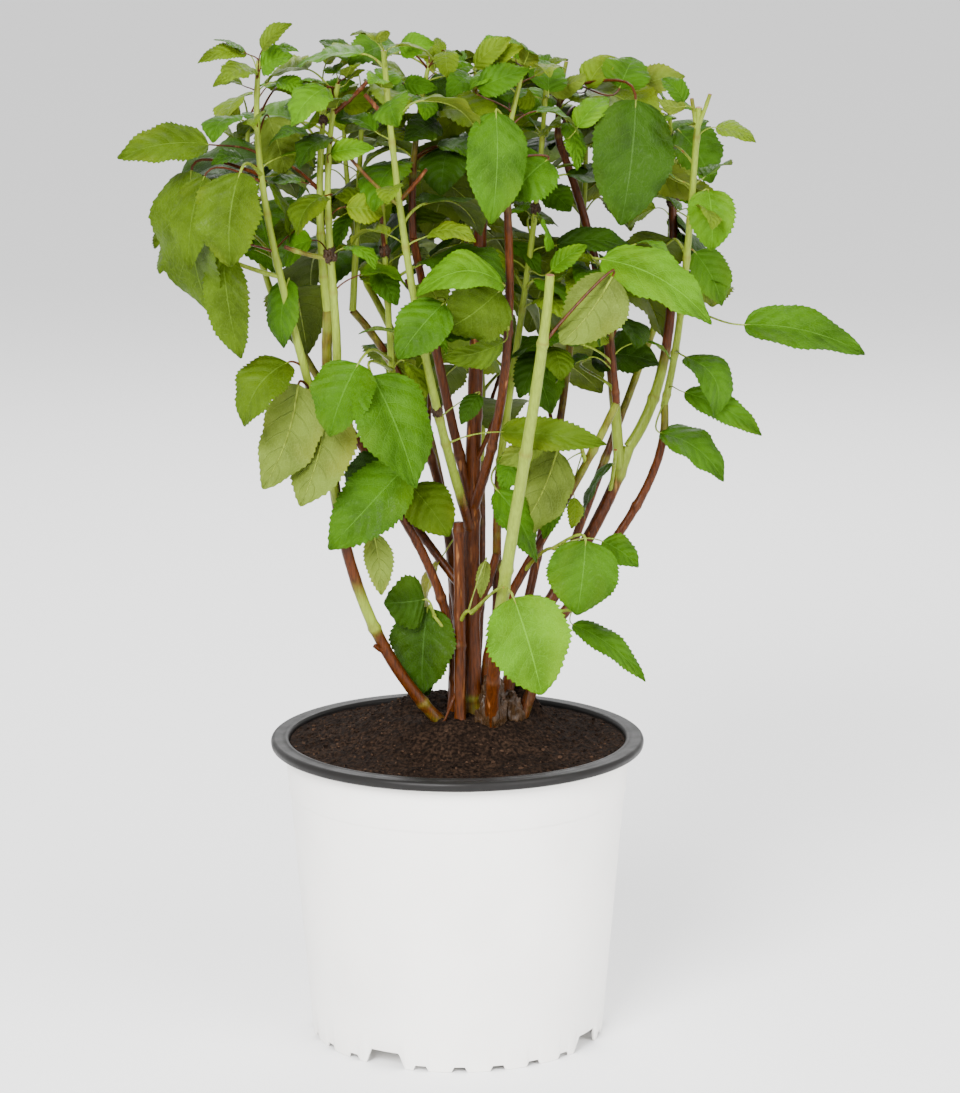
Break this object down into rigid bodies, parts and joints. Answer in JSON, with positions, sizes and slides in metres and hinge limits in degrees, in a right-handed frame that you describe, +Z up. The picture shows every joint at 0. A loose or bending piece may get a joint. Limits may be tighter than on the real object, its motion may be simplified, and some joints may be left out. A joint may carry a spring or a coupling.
{
  "type": "potted hydrangea shrub",
  "caption": "Young hydrangea shrub with broad toothed leaves on upright stems, standing in a round tapered nursery pot with a dark rolled rim and filled with soil.",
  "frame": {"origin": "centre of the pot's flat underside, on the ground", "axes": "+Z up along the pot's axis, -Y towards the front that the picture shows, +X to the right in that view"},
  "size_m": [0.491, 0.3657, 0.7109],
  "materials": {
    "pot_plastic": "satin",
    "rim_plastic": "satin",
    "potting_soil": "matte",
    "bark": "matte",
    "foliage": "satin"
  },
  "bodies": {
    "root": {"bough_centre": "bark", "bough_far_left": "bark", "bough_left": "bark", "bough_right": "bark", "bough_right_green": "bark", "crown_wood": "bark", "cut_stem_front": "bark", "cut_stem_right": "bark", "cut_stub": "bark", "limb_back": "bark", "limb_back_left": "bark", "limb_back_right": "bark", "limb_centre_right": "bark", "limb_far_right": "bark", "limb_front": "bark", "limb_left": "bark", "limb_left_back": "bark", "limb_left_low": "bark", "limb_right": "bark", "limb_right_front": "bark", "limb_right_outer": "bark", "pot": "pot_plastic", "rim": "rim_plastic", "shoot_back": "foliage", "shoot_back_left": "foliage", "shoot_back_right": "foliage", "shoot_bough_left": "foliage", "shoot_centre": "foliage", "shoot_centre_right": "foliage", "shoot_far_left": "foliage", "shoot_far_right": "foliage", "shoot_front": "foliage", "shoot_front_left": "foliage", "shoot_left": "foliage", "shoot_left_back": "foliage", "shoot_left_inner": "foliage", "shoot_left_low": "foliage", "shoot_left_mid": "foliage", "shoot_middle": "foliage", "shoot_right": "foliage", "shoot_right_front": "foliage", "shoot_right_green": "foliage", "shoot_right_outer": "foliage", "shoot_trunk": "foliage", "soil": "potting_soil", "sprig_centre": "foliage", "sprig_foot_right": "foliage", "sprig_low_front": "foliage", "sprig_low_left": "foliage", "sprig_low_right": "foliage", "sprig_mid_right": "foliage", "sprig_node_right": "foliage", "sprig_right": "foliage", "trunk": "bark"}
  },
  "joints": []
}
